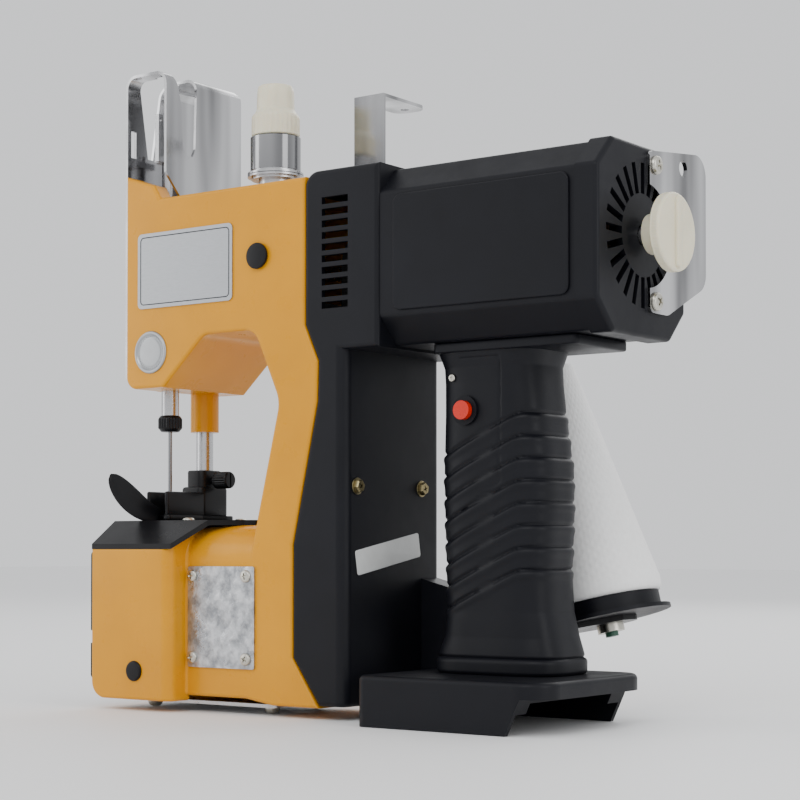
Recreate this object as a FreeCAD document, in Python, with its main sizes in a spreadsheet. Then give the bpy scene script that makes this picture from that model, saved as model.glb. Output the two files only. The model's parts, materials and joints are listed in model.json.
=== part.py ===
import FreeCAD, Part
import math
import os

import Sketcher

# Portable bag closer sewing machine, in millimetres, +Z up.
#
# The driving dimensions are taken in the machine's own grid: X runs lengthwise from the front of
# the sewing head (0) to the hand knob, Y runs across from the name plate side (0), and Z is height
# above the surface that the machine stands on. Each sub-part is then placed so that the model's
# origin is the middle of its footprint on that surface.

SIZES = {
    # middle of the footprint, which becomes the model's origin
    "origin_x": 134.25,
    "origin_y": 57.0,
    # sewing head, arm and column of the yellow casting
    "arm_width": 60.0,
    "arm_top": 243.5,
    "arm_underside": 176.5,
    "head_bottom": 153.0,
    "head_length": 24.0,
    "throat_front": 50.0,
    "throat_rear": 81.0,
    "column_front_high": 96.0,
    "column_front_low": 82.4,
    "column_knee": 143.0,
    "cover_joint": 111.0,
    "cover_joint_mid": 118.5,
    "cover_joint_low": 104.0,
    "casting_wall": 6.0,
    "casting_bottom": 5.0,
    # bed below the throat
    "bed_front": -11.0,
    "bed_block_end": 40.0,
    "bed_near": -12.0,
    "bed_top": 87.2,
    "bed_near_top": 76.0,
    "bed_ramp_end": 4.0,
    "plate_thick": 2.5,
    "bottom_plate_thick": 1.6,
    # needle and presser bars
    "needle_x": 11.0,
    "needle_y": 19.5,
    "needle_bar_rad": 4.25,
    "needle_rad": 1.0,
    "needle_tip": 94.6,
    "presser_y": 44.5,
    "presser_bar_rad": 4.2,
    "foot_clear": 0.3,
    "bush_rad": 7.0,
    # shafts and belts
    "shaft_rad": 5.0,
    "shaft_y": 30.0,
    "upper_shaft_z": 205.0,
    "lower_shaft_z": 40.0,
    "running_fit": 0.05,
    "timing_pulley_rad": 12.0,
    "big_pulley_rad": 25.0,
    "motor_pulley_rad": 7.0,
    "belt_width": 5.0,
    "belt_thick": 1.5,
    "belt_gap": 0.3,
    "timing_belt_x": 119.6,
    "drive_belt_x": 125.7,
    # belt cover and motor
    "cover_rear_low": 134.0,
    "cover_rear_high": 152.4,
    "cover_step": 164.5,
    "cover_top": 245.3,
    "cover_far": 74.0,
    "cover_bottom": 6.0,
    "shell_wall": 2.5,
    "motor_width": 75.0,
    "motor_bottom": 164.5,
    "motor_top": 245.0,
    "motor_rear": 252.0,
    "motor_axis_y": 37.5,
    "motor_axis_z": 207.0,
    "motor_bore": 35.0,
    "motor_chamfer": 12.0,
    "cap_rear": 262.7,
    # hand grip and foot
    "grip_x": 196.0,
    "grip_y": 37.5,
    "grip_length": 53.0,
    "grip_width": 38.0,
    "grip_bottom": 27.0,
    "grip_top": 161.5,
    "button_x": 186.0,
    "button_z": 136.0,
    "foot_front": 151.0,
    "foot_rear": 245.0,
    "foot_near": -14.0,
    "foot_top": 22.0,
    # thread stand
    "cone_x": 208.0,
    "cone_y": 99.0,
    "cone_base_z": 53.5,
    "cone_tilt": 14.0,
    "cone_base_rad": 27.0,
    "cone_top_rad": 7.0,
    "spindle_rad": 3.0,
    # tension unit
    "tension_x": 69.0,
    "tension_y": 30.0,
    "tension_post_rad": 3.0,
    # screws
    "screw_rad": 2.0,
}

doc = FreeCAD.newDocument("BagCloser")
sheet = doc.addObject("Spreadsheet::Sheet", "Dims")
for row, (name, number) in enumerate(SIZES.items(), start=1):
    sheet.set(f"A{row}", name)
    sheet.set(f"B{row}", str(number))
    sheet.setAlias(f"B{row}", name)
doc.recompute()

SUB_PARTS = []


class Size:
    """A length that carries both its value and the sheet formula that it comes from."""

    def __init__(self, value, formula):
        self.value = value
        self.formula = formula

    def combine(self, other, sign, value):
        return Size(value, f"({self.formula} {sign} {as_size(other).formula})")

    def __add__(self, other):
        return self.combine(other, "+", self.value + as_size(other).value)

    def __sub__(self, other):
        return self.combine(other, "-", self.value - as_size(other).value)

    def __mul__(self, other):
        return self.combine(other, "*", self.value * as_size(other).value)

    def __truediv__(self, other):
        return self.combine(other, "/", self.value / as_size(other).value)

    def __neg__(self):
        return as_size(0) - self

    def __radd__(self, other):
        return as_size(other) + self

    def __rsub__(self, other):
        return as_size(other) - self

    def __rmul__(self, other):
        return as_size(other) * self


def as_size(number):
    return number if isinstance(number, Size) else Size(float(number), repr(float(number)))


def dim(name):
    return Size(SIZES[name], f"Dims.{name}")


def bind(item, path, size):
    """Tie one property of an object to the sheet."""
    item.setExpression(path, as_size(size).formula)


def place(item, x, y, z, direction=None):
    """Put a sub-part at a point of the machine's grid, its own +Z along direction."""
    if direction is not None:
        item.Placement.Rotation = FreeCAD.Rotation(FreeCAD.Vector(0, 0, 1), FreeCAD.Vector(*direction))
    bind(item, ".Placement.Base.x", x - dim("origin_x"))
    bind(item, ".Placement.Base.y", y - dim("origin_y"))
    bind(item, ".Placement.Base.z", as_size(z))


def new_body(label):
    """A body drawn directly in the machine's grid."""
    body = doc.addObject("PartDesign::Body", label)
    body.Label = label
    SUB_PARTS.append(body)
    place(body, as_size(0), as_size(0), as_size(0))
    return body


PLANES = {"X": "YZ_Plane", "Y": "XZ_Plane", "Z": "XY_Plane"}


def new_sketch(body, axis, offset):
    """A sketch square to axis, at the given distance along it."""
    role = PLANES[axis]
    plane = next(item for item in body.Origin.OriginFeatures if item.Role == role)
    sketch = body.newObject("Sketcher::SketchObject", f"{body.Label}_sketch")
    sketch.AttachmentSupport = (plane, [""])
    sketch.MapMode = "FlatFace"
    bind(sketch, ".AttachmentOffset.Base.z", -as_size(offset) if axis == "Y" else offset)
    return sketch


def fix_point(sketch, geometry, point, position):
    """Hold one sketch point at a distance from the sketch's origin, both ways."""
    for kind, size in zip(("DistanceX", "DistanceY"), position):
        size = as_size(size)
        index = sketch.addConstraint(Sketcher.Constraint(kind, -1, 1, geometry, point, size.value))
        bind(sketch, f"Constraints[{index}]", size)


def draw_polygon(sketch, corners):
    first = sketch.GeometryCount
    count = len(corners)
    flat = [FreeCAD.Vector(as_size(a).value, as_size(b).value, 0) for a, b in corners]
    for step in range(count):
        sketch.addGeometry(Part.LineSegment(flat[step], flat[(step + 1) % count]), False)
    for step in range(count):
        joined = first + (step + 1) % count
        sketch.addConstraint(Sketcher.Constraint("Coincident", first + step, 2, joined, 1))
    for step, corner in enumerate(corners):
        fix_point(sketch, first + step, 1, corner)


def draw_circle(sketch, centre, radius):
    radius = as_size(radius)
    middle = FreeCAD.Vector(as_size(centre[0]).value, as_size(centre[1]).value, 0)
    circle = sketch.addGeometry(Part.Circle(middle, FreeCAD.Vector(0, 0, 1), radius.value), False)
    index = sketch.addConstraint(Sketcher.Constraint("Radius", circle, radius.value))
    bind(sketch, f"Constraints[{index}]", radius)
    fix_point(sketch, circle, 3, centre)


def prism(body, axis, corners, low, high, cut=False, circles=()):
    """Pad or pocket a polygon and circles between two heights along axis."""
    before = 0.0 if body.Tip is None else body.Shape.Volume
    low = as_size(low)
    high = as_size(high)
    sketch = new_sketch(body, axis, high if axis == "Y" else low)
    if corners:
        draw_polygon(sketch, corners)
    for centre, radius in circles:
        draw_circle(sketch, centre, radius)
    kind = "PartDesign::Pocket" if cut else "PartDesign::Pad"
    feature = body.newObject(kind, f"{body.Label}_{'pocket' if cut else 'pad'}")
    feature.Profile = sketch
    feature.Reversed = cut
    bind(feature, "Length", high - low)
    doc.recompute()
    change = body.Shape.Volume - before
    if (change >= 0) if cut else (change <= 0):
        raise ValueError(f"{feature.Label} changes the volume by {change:.1f}")
    return feature


def box(body, x, y, z, cut=False):
    """Pad or pocket a box given by its three ranges."""
    corners = [(x[0], y[0]), (x[1], y[0]), (x[1], y[1]), (x[0], y[1])]
    return prism(body, "Z", corners, z[0], z[1], cut)


def bore(body, axis, centre, radius, low, high):
    """Drill a round hole along axis."""
    return prism(body, axis, [], low, high, cut=True, circles=[(centre, radius)])


def boss(body, axis, centre, radius, low, high):
    """Raise a round boss along axis."""
    return prism(body, axis, [], low, high, circles=[(centre, radius)])


def edges_along(shape, axis, spots=None, span=None):
    """Names of the straight edges parallel to axis, through the given spots if there are any."""
    own = "XYZ".index(axis)
    across = [index for index in range(3) if index != own]
    names = []
    for number, edge in enumerate(shape.Edges, start=1):
        if len(edge.Vertexes) != 2 or not isinstance(edge.Curve, Part.Line):
            continue
        start, end = (vertex.Point for vertex in edge.Vertexes)
        if any(abs(start[index] - end[index]) > 1e-4 for index in across):
            continue
        middle = (start[own] + end[own]) / 2
        if span and not span[0] <= middle <= span[1]:
            continue
        if spots is None or any(
            all(abs(start[index] - as_size(level).value) < 0.02 for index, level in zip(across, spot))
            for spot in spots
        ):
            names.append(f"Edge{number}")
    return names


def dress(body, kind, radius, names):
    """Round ("Fillet") or bevel ("Chamfer") the named edges of the body so far."""
    if not names:
        raise ValueError(f"{body.Label} has no edge to dress")
    base = body.Tip
    feature = body.newObject(f"PartDesign::{kind}", f"{body.Label}_{kind.lower()}")
    feature.Base = (base, names)
    bind(feature, "Radius" if kind == "Fillet" else "Size", radius)
    doc.recompute()
    if not feature.isValid() or feature.Shape.isNull():
        raise ValueError(f"{feature.Label} could not be made")
    return feature


def soften(body, radius, axis, spots=None, span=None, kind="Fillet"):
    """Round or bevel the edges that run along axis."""
    return dress(body, kind, radius, edges_along(body.Tip.Shape.copy(), axis, spots, span))


def rim_edges(shape, axis, level):
    """Names of all edges that lie in the plane at the given height along axis."""
    own = "XYZ".index(axis)
    names = []
    for number, edge in enumerate(shape.Edges, start=1):
        bounds = edge.BoundBox
        low = (bounds.XMin, bounds.YMin, bounds.ZMin)[own]
        high = (bounds.XMax, bounds.YMax, bounds.ZMax)[own]
        if abs(low - level) < 0.02 and abs(high - level) < 0.02:
            names.append(f"Edge{number}")
    return names


def soften_rim(body, radius, axis, level, kind="Fillet"):
    """Round or bevel every edge of the face at one end of a body."""
    level = as_size(level).value
    return dress(body, kind, radius, rim_edges(body.Tip.Shape.copy(), axis, level))


def turned(label, profile, x, y, z, direction=(0, 0, 1)):
    """A body turned about its own +Z from (radius, height) points, then set along direction."""
    body = new_body(label)
    sketch = new_sketch(body, "Y", 0)
    draw_polygon(sketch, profile)
    feature = body.newObject("PartDesign::Revolution", f"{label}_turned")
    feature.Profile = sketch
    feature.ReferenceAxis = (sketch, ["V_Axis"])
    feature.Angle = 360
    place(body, as_size(x), as_size(y), z, direction)
    doc.recompute()
    return body


def step_profile(steps, inner=0):
    """(radius, height) outline of a stepped bar: steps are (radius, low, high), from the bottom."""
    outline = []
    for radius, low, high in steps:
        outline.append((radius, low))
        outline.append((radius, high))
    return [(inner, steps[0][1])] + outline + [(inner, steps[-1][2])]


def group(label, pieces):
    """One sub-part holding several separate solids, built as a compound of primitives."""
    whole = doc.addObject("Part::Compound", label)
    whole.Label = label
    whole.Links = pieces
    SUB_PARTS.append(whole)
    place(whole, as_size(0), as_size(0), as_size(0))
    return whole


def rod(name, x, y, z, radius, length, direction=(0, 0, 1)):
    """A plain cylinder primitive with its foot at a point of the grid."""
    piece = doc.addObject("Part::Cylinder", name)
    bind(piece, "Radius", radius)
    bind(piece, "Height", length)
    piece.Placement.Rotation = FreeCAD.Rotation(FreeCAD.Vector(0, 0, 1), FreeCAD.Vector(*direction))
    bind(piece, ".Placement.Base.x", x)
    bind(piece, ".Placement.Base.y", y)
    bind(piece, ".Placement.Base.z", z)
    return piece


def fused(name, pieces):
    whole = doc.addObject("Part::MultiFuse", name)
    whole.Shapes = pieces
    return whole


def minus(name, base, tool):
    whole = doc.addObject("Part::Cut", name)
    whole.Base = base
    whole.Tool = tool
    return whole


def screw(name, x, y, z, direction, head_rad, head_high, shank_rad, shank_long):
    """A screw whose head's underside sits at the point and whose head points along direction."""
    head = rod(f"{name}_head", x, y, z, head_rad, head_high, direction)
    back = [-part for part in direction]
    shank = rod(f"{name}_shank", x, y, z, shank_rad, shank_long, back)
    return fused(name, [head, shank])


# ---------------------------------------------------------------- yellow casting

def arm_frame():
    """The one-piece casting: sewing head, arm, column and bed, hollow for the drive."""
    body = new_body("arm_frame")
    width = dim("arm_width")
    top = dim("arm_top")
    wall = dim("casting_wall")
    joint = dim("cover_joint")
    middle = dim("cover_joint_mid")
    low = dim("cover_joint_low")
    outline = [
        (0, dim("head_bottom")),
        (dim("head_length"), dim("head_bottom")),
        (dim("throat_front"), dim("arm_underside")),
        (dim("throat_rear"), dim("arm_underside")),
        (dim("column_front_high"), dim("column_knee")),
        (dim("column_front_low"), dim("bed_top")),
        (dim("bed_block_end"), dim("bed_top")),
        (dim("bed_block_end"), 7.5),
        (76, 7.5),
        (92, dim("casting_bottom")),
        (119, dim("casting_bottom")),
        (low, 27),
        (low, 78),
        (middle - 0.5, 142),
        (middle, 160),
        (joint, dim("arm_underside")),
        (joint, top),
        (0, top),
    ]
    prism(body, "Y", outline, 0, width)
    soften(body, 6, "Y", [(0, dim("head_bottom"))])
    soften(body, 9, "Y", [
        (dim("throat_front"), dim("arm_underside")),
        (dim("throat_rear"), dim("arm_underside")),
    ])
    soften(body, 14, "Y", [(dim("column_front_high"), dim("column_knee"))])
    soften(body, 17, "X", [(0, dim("bed_top"))], span=(42, 80))
    # front block of the bed, with a ramp on its near side
    block = [
        (dim("bed_near"), dim("casting_bottom")),
        (width, dim("casting_bottom")),
        (width, dim("bed_top")),
        (dim("bed_ramp_end"), dim("bed_top")),
        (dim("bed_near"), dim("bed_near_top")),
    ]
    prism(body, "X", block, dim("bed_front"), dim("bed_block_end"))
    soften(body, 8, "Y", [(dim("bed_front"), dim("casting_bottom"))])
    soften(body, 5, "Z", [(dim("bed_block_end"), dim("bed_near"))])
    # raised ridge along the top of the head
    ridge = [(0, top), (22, top), (18, 250), (0, 256)]
    prism(body, "Y", ridge, 0, 9)
    # head chamber behind the face plate, and the tunnel of the arm
    box(body, (0, 22), (8, 52), (160, top - wall), cut=True)
    box(body, (30, joint), (8, 52), (184, top - wall), cut=True)
    # bed chamber, open at the bottom, and its passage through the column to the belt cover
    box(body, (-6, 92), (2, width - 5), (dim("casting_bottom"), 70), cut=True)
    bore(body, "X", (dim("shaft_y"), dim("lower_shaft_z")), 12, 92, 120)
    # feed opening under the throat plate
    box(body, (0, 24), (3, 52), (69, dim("bed_top")), cut=True)
    # pivot pin of the looper, cast into the front wall of the bed
    boss(body, "X", (22, 52), 3, -8, 22)
    bore(body, "Z", (100, 40), 2, top - 2, top)
    shaft = dim("shaft_rad")
    bore(body, "X", (dim("shaft_y"), dim("upper_shaft_z")), shaft + 3, 22, 30)
    for y in (dim("needle_y"), dim("presser_y")):
        bore(body, "Z", (dim("needle_x"), y), dim("bush_rad"), dim("head_bottom"), 160)
        bore(body, "Z", (dim("needle_x"), y), dim("bush_rad"), top - wall, top)
    for level in (width, dim("bed_near"), 0):
        soften_rim(body, 1.5, "Y", level)


def bar_bushes():
    """Bushes that guide the needle bar and the presser bar, above and below the head chamber."""
    lower = dim("head_bottom")
    wall = dim("casting_wall")
    top = dim("arm_top")
    pieces = []
    x = dim("needle_x")
    fit = dim("running_fit")
    needle = (dim("needle_y"), dim("needle_bar_rad") + fit)
    presser = (dim("presser_y"), dim("presser_bar_rad") + fit)
    nose = 19
    outer = dim("bush_rad")
    pieces.append(ring("needle_low_bush", x, needle[0], lower, outer, needle[1], 7))
    pieces.append(ring("presser_low_bush", x, presser[0], lower - nose, outer, presser[1], 7 + nose))
    pieces.append(ring("needle_high_bush", x, needle[0], top - wall, outer, needle[1], wall))
    pieces.append(ring("presser_high_bush", x, presser[0], top - wall, outer, presser[1], wall))
    group("bar_bushes", pieces)


def take_up_cover():
    """Folded chrome sheet over the head: a front wall down to the head's bottom, a top and a rear wall."""
    body = new_body("take_up_cover")
    width = dim("arm_width")
    head = dim("head_length")
    far = width - 5
    gauge = 1.4
    front = -gauge
    crown = 305
    box(body, (front, head + gauge), (1, far), (dim("arm_top") + 0.2, crown))
    box(body, (0, head), (0, width + 1), (dim("arm_top"), crown - gauge), cut=True)
    soften(body, 5.1, "Y", [(0, crown - gauge), (head, crown - gauge)])
    soften(body, 6.5, "Y", [(front, crown), (head + gauge, crown)])
    far_corner = [(far - 4, crown + 1), (far + 1, crown + 1), (far + 1, crown - 5)]
    prism(body, "X", far_corner, front - 1, head + gauge + 1, cut=True)
    box(body, (front, 0), (1, far), (dim("head_bottom") + 5, dim("arm_top") + 0.2))
    # thread notch, a vee in the front half and a slanted slot in the rear half
    middle = head / 2
    vee = [(8.5, crown + 1), (25, crown + 1), (18.5, 267), (15, 267)]
    prism(body, "X", vee, front - 1, middle, cut=True)
    slot = [
        (6, crown + 1), (9.5, 297), (12, 287), (12.5, 270), (15, 266), (19.5, 266), (21.4, 270),
        (22.5, crown + 1),
    ]
    prism(body, "X", slot, middle, head + gauge + 1, cut=True)
    prism(body, "X", [(3.3, 266), (6.8, 266), (6.8, 279), (3.3, 279)], front - 1, 0, cut=True)
    # the rear wall clears the ridge of the casting
    prism(body, "X", [(0, 240), (16, 240), (0, 257)], head - 1, head + gauge + 1, cut=True)


def face_plate_parts():
    """Name plate and the small blind plugs on the near side of the casting."""
    plate = new_body("name_plate")
    prism(plate, "Y", [(8.5, 191), (68.5, 191), (68.5, 227), (8.5, 227)], -0.7, 0)
    soften(plate, 2.5, "Y")
    pieces = [
        rod("arm_plug", 84, 0, 210, 6, 1.6, (0, -1, 0)),
        rod("bed_plug", 17.8, dim("bed_near"), 18.6, 4.8, 1.2, (0, -1, 0)),
    ]
    group("blind_plugs", pieces)


def bed_screw(name, x, y, z, direction):
    """The small pan-head screw used all over the bed."""
    return screw(name, x, y, z, direction, 2.9, 1.4, 1.5, 1.0)


def bed_covers():
    """Sheet covers of the bed: front, side and bottom, and the screws of the side cover."""
    front = new_body("bed_front_cover")
    x = dim("bed_front")
    prism(front, "X", [(-11, 14), (58, 14), (58, 75), (-11, 75)], x - 1, x)
    soften(front, 2, "X")
    prism(front, "X", [(-11, 31), (-7, 31), (-7, 37), (-11, 37)], x - 1, x, cut=True)

    side = new_body("bed_side_plate")
    prism(side, "Y", [(41.7, 21), (82.4, 21), (82.4, 68), (41.7, 68)], -1, 0)
    soften(side, 1, "Y")
    screws = []
    for number, (sx, sz) in enumerate(((44.5, 25.5), (77.5, 25.5), (44.5, 63.5), (77.5, 63.5))):
        bore(side, "Y", (sx, sz), dim("screw_rad") - 0.5, -1, 0)
        screws.append(bed_screw(f"side_screw_{number}", sx, -1, sz, (0, -1, 0)))

    bottom = new_body("bottom_plate")
    under = dim("casting_bottom") - dim("bottom_plate_thick")
    box(bottom, (-2, 90), (5, 55), (under, dim("casting_bottom")))
    soften(bottom, 4, "Z")
    pads = []
    for number, (sx, sy) in enumerate(((6, 15), (80, 15), (6, 48), (80, 48))):
        bore(bottom, "Z", (sx, sy), 1.5, under, dim("casting_bottom"))
        pads.append(screw(f"bottom_screw_{number}", sx, sy, under, (0, 0, -1), 3.6, under, 1.5, 1.6))
    group("bottom_screws", pads)
    return screws


def throat_plate(screws):
    """Needle plate: flat under the presser foot, bent down along the near ramp of the bed."""
    body = new_body("throat_plate")
    thick = dim("plate_thick")
    top = dim("bed_top")
    edge = dim("bed_near_top")
    profile = [
        (dim("bed_near"), edge),
        (dim("bed_ramp_end"), top),
        (dim("arm_width") - 2, top),
        (dim("arm_width") - 2, top + thick),
        (dim("bed_ramp_end") - 0.5, top + thick),
        (dim("bed_near"), edge + thick),
    ]
    prism(body, "X", profile, dim("bed_front") + 0.5, 66)
    # the rear edge sweeps back from the near corner to the far side
    prism(body, "Z", [(36, -20), (80, -20), (80, 30), (62, 16), (50, 3)], 60, 100, cut=True)
    box(body, (8.5, 13.5), (10.5, 28.5), (top - 1, top + thick + 1), cut=True)
    box(body, (3, 6), (13, 45), (top - 1, top + thick + 1), cut=True)
    box(body, (16, 19), (13, 45), (top - 1, top + thick + 1), cut=True)
    for number, (sx, sy) in enumerate(((30, 12), (30, 50), (-5, 52))):
        bore(body, "Z", (sx, sy), 1.5, top - 1, top + thick + 1)
        screws.append(bed_screw(f"throat_screw_{number}", sx, sy, top + thick, (0, 0, 1)))
    group("bed_screws", screws)


# ---------------------------------------------------------------- needle and presser bars

def needle_bar_group():
    """Needle bar with its clamp, needle, crank block and thread take-up."""
    x = dim("needle_x")
    y = dim("needle_y")
    radius = dim("needle_bar_rad")
    turned("needle_bar", step_profile([(radius, 136, 270)]), x, y, 0)
    collet = [
        (1, 133), (4.6, 133), (5.85, 135), (5.85, 139.5),
        (4.9, 141), (radius, 141), (radius, 136), (1, 136),
    ]
    turned("needle_clamp", collet, x, y, 0)
    turned("needle", [(0, dim("needle_tip")), (dim("needle_rad"), dim("needle_tip") + 5),
                      (dim("needle_rad"), 136), (0, 136)], x, y, 0)
    block = new_body("crank_block")
    box(block, (4.5, 17.5), (10, 29), (182, 194))
    bore(block, "Z", (x, y), radius, 182, 194)
    soften(block, 1, "Z")
    take_up = new_body("take_up_lever")
    box(take_up, (6, 16), (13, 26), (264, 267))
    bore(take_up, "Z", (x, y), radius, 264, 267)
    prism(take_up, "X", [(9.6, 264), (13.5, 264), (13.5, 272), (12.6, 287), (9.6, 287)], 9.8, 12.2)
    bore(take_up, "X", (11.1, 284), 1, 9.8, 12.2)


def presser_group():
    """Spring-loaded presser bar with its collar, and the foot with its clamping thumb screw."""
    x = dim("needle_x")
    y = dim("presser_y")
    radius = dim("presser_bar_rad")
    sole = dim("bed_top") + dim("plate_thick") + dim("foot_clear")
    bar = step_profile([(radius, sole + 12, 176), (6.5, 176, 184), (radius, 184, 252)])
    turned("presser_bar", bar, x, y, 0)
    turned("presser_spring", [(5, 184.5), (6.4, 184.5), (6.4, 236.2), (5, 236.2)], x, y, 0)

    foot = new_body("presser_foot")
    box(foot, (x - 8, x + 8), (8, 58), (sole, sole + 3))
    box(foot, (x - 3, x + 3), (8, 27), (sole, sole + 3), cut=True)
    box(foot, (x - 6, x + 6), (36, 53), (sole + 3, sole + 25))
    bore(foot, "Z", (x, y), radius, sole + 12, sole + 25)
    soften(foot, 3, "Z", [(x - 8, 58), (x + 8, 58), (x - 8, 8), (x + 8, 8)])
    soften(foot, 2, "Z", [(x - 6, 36), (x + 6, 36), (x - 6, 53), (x + 6, 53)])
    # upturned guide ear at the near end of the sole
    ear = [(8, sole), (8, sole + 3), (-2, sole + 10), (-12, sole + 22), (-8, sole + 23.5),
           (2, sole + 16), (14, sole + 3), (14, sole)]
    prism(foot, "X", ear, x - 8, x - 3)
    stem = step_profile([(1.8, 0, 3), (4.2, 3, 12)])
    turned("foot_thumb_screw", stem, x + 6, y - 1, sole + 20, (1, 0, 0))


def sewing_drive():
    """Feed dog below the throat plate and the looper beside the needle."""
    feed = new_body("feed_dog")
    top = dim("bed_top")
    box(feed, (3.5, 5.5), (17, 41), (top - 4, top + 2))
    box(feed, (16.5, 18.5), (17, 41), (top - 4, top + 2))
    box(feed, (3.5, 18.5), (29, 41), (top - 7, top - 4))
    box(feed, (9, 13), (31, 41), (66, top - 7))
    looper = new_body("looper")
    box(looper, (14.2, 17.2), (10, 24), (72, 75))
    box(looper, (13.4, 17.2), (20, 24), (52, 72))
    boss(looper, "X", (22, 52), 5, 11, 19)
    bore(looper, "X", (22, 52), 3 + dim("running_fit"), 11, 19)


# ---------------------------------------------------------------- shafts and belts

def ring(name, x, y, z, outer, inner, length, direction=(0, 0, 1)):
    """A plain ring of primitives, its foot at a point of the grid."""
    disc = rod(f"{name}_disc", x, y, z, outer, length, direction)
    hole = rod(f"{name}_hole", x, y, z, inner, length, direction)
    return minus(name, disc, hole)


def shafts():
    """Upper and lower shafts with their crank, pulleys and plain bearings."""
    y = dim("shaft_y")
    high = dim("upper_shaft_z")
    low = dim("lower_shaft_z")
    radius = dim("shaft_rad")
    small = dim("timing_pulley_rad")
    belt = dim("belt_width")
    timing = dim("timing_belt_x")
    drive = dim("drive_belt_x")
    axis = (1, 0, 0)
    turned("upper_shaft", step_profile([(radius, 21.8, timing + belt)]), 0, y, high, axis)
    turned("lower_shaft", step_profile([(radius, 0, 131)]), 0, y, low, axis)
    crank = new_body("crank_disc")
    boss(crank, "X", (y, high), 13, 18.4, 21.8)
    boss(crank, "X", (y, high + 9), 2.5, 17.8, 18.4)
    turned("upper_pulley", [(radius, 0), (small, 0), (small, belt), (radius, belt)], timing, y, high, axis)
    group("lower_pulleys", [
        ring("timing_pulley", timing, y, low, small, radius, belt, axis),
        ring("driven_pulley", drive, y, low, dim("big_pulley_rad"), radius, belt, axis),
    ])
    loose = radius + dim("running_fit")
    group("shaft_bearings", [
        ring("head_bearing", as_size(22.7), y, high, 8, loose, 7.3, axis),
        ring("column_bearing", as_size(92), y, low, 12, loose, 12, axis),
    ])


def belt_loop(label, low_x, first, second):
    """Endless flat belt round two pulleys, each (y, z, radius), as a band between two offsets."""
    gap = SIZES["belt_gap"]
    thick = SIZES["belt_thick"]

    def wire(extra):
        (y1, z1, r1), (y2, z2, r2) = first, second
        r1 += extra
        r2 += extra
        distance = math.hypot(y2 - y1, z2 - z1)
        heading = math.atan2(z2 - z1, y2 - y1)
        lean = math.acos((r1 - r2) / distance)
        def on(centre_y, centre_z, radius, angle):
            out_y = radius * math.cos(angle)
            out_z = radius * math.sin(angle)
            return FreeCAD.Vector(0, centre_y + out_y, centre_z + out_z)
        left1 = on(y1, z1, r1, heading + lean)
        left2 = on(y2, z2, r2, heading + lean)
        right1 = on(y1, z1, r1, heading - lean)
        right2 = on(y2, z2, r2, heading - lean)
        back = on(y1, z1, r1, heading + math.pi)
        front = on(y2, z2, r2, heading)
        edges = [
            Part.LineSegment(left1, left2).toShape(),
            Part.Arc(left2, front, right2).toShape(),
            Part.LineSegment(right2, right1).toShape(),
            Part.Arc(right1, back, left1).toShape(),
        ]
        return Part.Wire(edges)

    outer = Part.Face(wire(gap + thick)).extrude(FreeCAD.Vector(SIZES["belt_width"], 0, 0))
    inner = Part.Face(wire(gap)).extrude(FreeCAD.Vector(SIZES["belt_width"], 0, 0))
    belt = doc.addObject("Part::Feature", label)
    belt.Label = label
    belt.Shape = outer.cut(inner)
    SUB_PARTS.append(belt)
    place(belt, dim(low_x), as_size(0), as_size(0))


def belts():
    """Drive belt from the motor to the lower shaft, and timing belt from there to the upper shaft."""
    y = SIZES["shaft_y"]
    low = SIZES["lower_shaft_z"]
    motor = (SIZES["motor_axis_y"], SIZES["motor_axis_z"], SIZES["motor_pulley_rad"])
    belt_loop("drive_belt", "drive_belt_x", (y, low, SIZES["big_pulley_rad"]), motor)
    timing = SIZES["timing_pulley_rad"]
    belt_loop("timing_belt", "timing_belt_x", (y, low, timing), (y, SIZES["upper_shaft_z"], timing))


# ---------------------------------------------------------------- black belt cover

def belt_cover():
    """Moulded shell over the belts, open towards the casting, with cooling slots above."""
    body = new_body("belt_cover")
    wall = dim("shell_wall")
    far = dim("cover_far")
    joint = dim("cover_joint")
    middle = dim("cover_joint_mid")
    front = dim("cover_joint_low")
    low = dim("cover_rear_low")
    high = dim("cover_rear_high")
    step = dim("cover_step")
    top = dim("cover_top")
    foot = dim("cover_bottom")
    outline = [
        (joint, top), (joint, 176.5), (middle, 160), (middle - 0.5, 142), (front, 78), (front, 27),
        (119, foot), (low, foot), (low, step), (high, step), (high, top),
    ]
    prism(body, "Y", outline, 0, far)
    soften(body, 7, "Y", [(joint, top)])
    soften(body, 6, "X", [(far, top)])
    soften(body, 5, "Z", [(low, 0), (low, far)])
    soften_rim(body, 2, "Y", 0)
    hollow = [
        (joint + wall, top - wall), (joint + wall, 178), (middle + wall, 160.5), (middle + wall - 0.5, 141),
        (front + wall, 77), (front + wall, 28.5), (120.3, foot + wall), (low - wall, foot + wall),
        (low - wall, step + wall), (high - wall, step + wall), (high - wall, top - wall),
    ]
    prism(body, "Y", hollow, wall, far - wall, cut=True)
    # window towards the casting for the belts and the lower shaft
    window = [(joint - 1, 236), (joint - 1, 190), (joint + 4, 180), (middle - 2, 160), (middle - 2, 142),
              (front - 2, 78), (front - 2, 27), (123, 12), (123, 236)]
    prism(body, "Y", window, 8, 54, cut=True)
    bore(body, "X", (dim("motor_axis_y"), dim("motor_axis_z")), 12, high - wall, high)
    for number in range(10):
        height = 183 + 5.2 * number
        box(body, (121, 135.7), (-1, wall + 1), (height, height + 3.1), cut=True)
        box(body, (121, 135.7), (far - wall - 1, far + 1), (height, height + 3.1), cut=True)
    # web that carries the standing foot, at the far side
    meet = dim("foot_front")
    tray = dim("foot_top")
    web = [(low - wall, 10), (meet, 10), (meet, tray), (meet + 8, tray), (meet + 8, 56), (low - wall, 63)]
    prism(body, "Y", web, far - 16, far - 2)


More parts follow.
